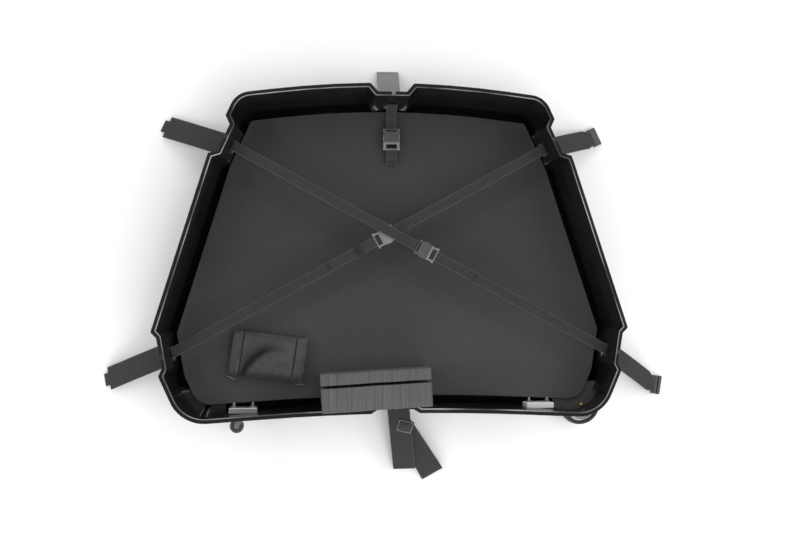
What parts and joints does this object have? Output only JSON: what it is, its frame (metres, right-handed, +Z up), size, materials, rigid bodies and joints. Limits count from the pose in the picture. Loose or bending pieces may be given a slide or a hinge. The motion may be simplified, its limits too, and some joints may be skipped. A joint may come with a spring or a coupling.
{
  "type": "bike travel case half",
  "caption": "Open tray half of a hard bike travel case, with foam mat, crossed inner straps, closure straps, corner wheel and caster.",
  "frame": {"origin": "middle of the flat outer floor that the half rests on", "axes": "+X along the length towards the corner wheel, +Y from the wheel edge to the top edge, +Z up out of the tray"},
  "size_m": [1.4298, 1.0489, 0.148],
  "materials": {
    "shell_plastic": "gloss",
    "mat_foam": "matte",
    "block_foam": "matte",
    "pouch_fabric": "satin",
    "strap_webbing": "matte",
    "inner_webbing": "matte",
    "steel": "satin",
    "plated_steel": "satin",
    "end_plastic": "satin",
    "buckle_plastic": "satin",
    "tyre_rubber": "matte",
    "hub_chrome": "polished",
    "brass_nut": "polished",
    "caster_rubber": "matte",
    "block_aluminium": "satin"
  },
  "bodies": {
    "case": {"shell": "shell_plastic", "floor_mat": "mat_foam", "bracket_top": "steel", "rivets_top": "steel", "backplate_top": "steel", "bracket_upper_right": "steel", "rivets_upper_right": "steel", "backplate_upper_right": "steel", "bracket_upper_left": "steel", "rivets_upper_left": "steel", "backplate_upper_left": "steel", "bracket_lower_right": "steel", "rivets_lower_right": "steel", "backplate_lower_right": "steel", "bracket_lower_left": "steel", "rivets_lower_left": "steel", "backplate_lower_left": "steel", "bracket_bottom": "steel", "rivets_bottom": "steel", "backplate_bottom": "steel", "webbing_a_upper": "inner_webbing", "webbing_a_lower": "inner_webbing", "buckle_socket_a": "buckle_plastic", "webbing_b_upper": "inner_webbing", "webbing_b_lower": "inner_webbing", "buckle_socket_b": "buckle_plastic", "buckle_socket_top": "buckle_plastic", "hold_down_upper": "inner_webbing", "hold_down_loop": "inner_webbing", "wheel_axle": "steel", "wheel_spacer": "steel", "wheel_cap_nut": "brass_nut", "caster_plate": "plated_steel", "backing_block_left": "block_aluminium", "backing_block_right": "block_aluminium", "cover_plate_right": "block_aluminium", "bolts_left": "steel", "nuts_left": "steel", "bolts_right": "steel", "nuts_right": "steel"},
    "wheel": {"wheel_tyre": "tyre_rubber", "wheel_hub": "hub_chrome"},
    "caster_swivel_body": {"caster_fork": "plated_steel", "caster_axle": "plated_steel"},
    "caster_roller": {"caster_wheel": "caster_rubber"},
    "closure_strap_top": {"strap_top": "strap_webbing"},
    "closure_strap_upper_right": {"strap_upper_right": "strap_webbing"},
    "closure_strap_upper_left": {"strap_upper_left": "strap_webbing"},
    "closure_strap_lower_right": {"strap_lower_right": "strap_webbing"},
    "closure_strap_lower_left": {"strap_lower_left": "strap_webbing"},
    "closure_strap_bottom": {"strap_bottom": "strap_webbing", "strap_bottom_tail": "strap_webbing"},
    "strap_plate_upper": {"end_plate_upper_right": "end_plastic"},
    "strap_plate_lower": {"end_plate_lower_right": "end_plastic"},
    "plug_a": {"buckle_plug_a": "buckle_plastic"},
    "plug_b": {"buckle_plug_b": "buckle_plastic"},
    "plug_top": {"buckle_plug_top": "buckle_plastic"},
    "keeper": {"webbing_keeper": "buckle_plastic"},
    "pouch": {"parts_pouch": "pouch_fabric"},
    "foam_block": {"chainring_block": "block_foam"}
  },
  "joints": [
    {"name": "wheel_spin", "type": "hinge", "parent": "case", "child": "wheel", "pos_m": [0.487, -0.388, 0.0182], "axis": [0, 0, 1], "continuous": true},
    {"name": "caster_swivel", "type": "hinge", "parent": "case", "child": "caster_swivel_body", "pos_m": [-0.368, -0.4005, 0.064], "axis": [0, 1, 0], "continuous": true},
    {"name": "caster_roll", "type": "hinge", "parent": "caster_swivel_body", "child": "caster_roller", "pos_m": [-0.384, -0.423, 0.064], "axis": [0, 0, 1], "continuous": true},
    {"name": "strap_top_swing", "type": "hinge", "parent": "case", "child": "closure_strap_top", "pos_m": [0, 0.38108, 0.05766], "axis": [1, 0, 0], "range_deg": [0, 102]},
    {"name": "strap_upper_right_swing", "type": "hinge", "parent": "case", "child": "closure_strap_upper_right", "pos_m": [0.40092, 0.26761, 0.05766], "axis": [0.4147, -0.9099, 0], "range_deg": [0, 85]},
    {"name": "strap_upper_left_swing", "type": "hinge", "parent": "case", "child": "closure_strap_upper_left", "pos_m": [-0.40092, 0.26761, 0.05766], "axis": [0.4147, 0.9099, 0], "range_deg": [0, 83]},
    {"name": "strap_lower_right_swing", "type": "hinge", "parent": "case", "child": "closure_strap_lower_right", "pos_m": [0.54805, -0.24911, 0.05766], "axis": [-0.1735, -0.9848, 0], "range_deg": [0, 73]},
    {"name": "strap_lower_left_swing", "type": "hinge", "parent": "case", "child": "closure_strap_lower_left", "pos_m": [-0.54857, -0.24616, 0.05766], "axis": [-0.1735, 0.9848, 0], "range_deg": [0, 84]},
    {"name": "strap_bottom_swing", "type": "hinge", "parent": "case", "child": "closure_strap_bottom", "pos_m": [0.014, -0.38051, 0.05858], "axis": [-1, 0, 0], "range_deg": [0, 87]},
    {"name": "strap_plate_upper_flip", "type": "hinge", "parent": "closure_strap_upper_right", "child": "strap_plate_upper", "pos_m": [0.53484, 0.30426, 0.01033], "axis": [0.4147, -0.9099, 0], "range_deg": [0, 100]},
    {"name": "strap_plate_lower_flip", "type": "hinge", "parent": "closure_strap_lower_right", "child": "strap_plate_lower", "pos_m": [0.6869, -0.34068, 0.00969], "axis": [-0.1735, -0.9848, 0], "range_deg": [0, 100]},
    {"name": "buckle_a_release", "type": "slide", "parent": "case", "child": "plug_a", "axis": [0.877, -0.4805, 0], "range_m": [0, 0.026], "deforming": ["webbing_a_lower"]},
    {"name": "buckle_b_release", "type": "slide", "parent": "case", "child": "plug_b", "axis": [-0.8783, -0.4782, 0], "range_m": [0, 0.026], "deforming": ["webbing_b_lower"]},
    {"name": "buckle_top_release", "type": "slide", "parent": "case", "child": "plug_top", "axis": [0, -1, 0], "range_m": [0, 0.026], "deforming": ["hold_down_loop"]},
    {"name": "keeper_slide", "type": "slide", "parent": "case", "child": "keeper", "axis": [-0.8783, -0.4782, 0], "range_m": [-0.01, 0.07]},
    {"name": "pouch_lift", "type": "slide", "parent": "case", "child": "pouch", "axis": [0, 0, 1], "range_m": [0, 0.15]},
    {"name": "foam_block_lift", "type": "slide", "parent": "case", "child": "foam_block", "axis": [0, 0, 1], "range_m": [0, 0.15]}
  ]
}
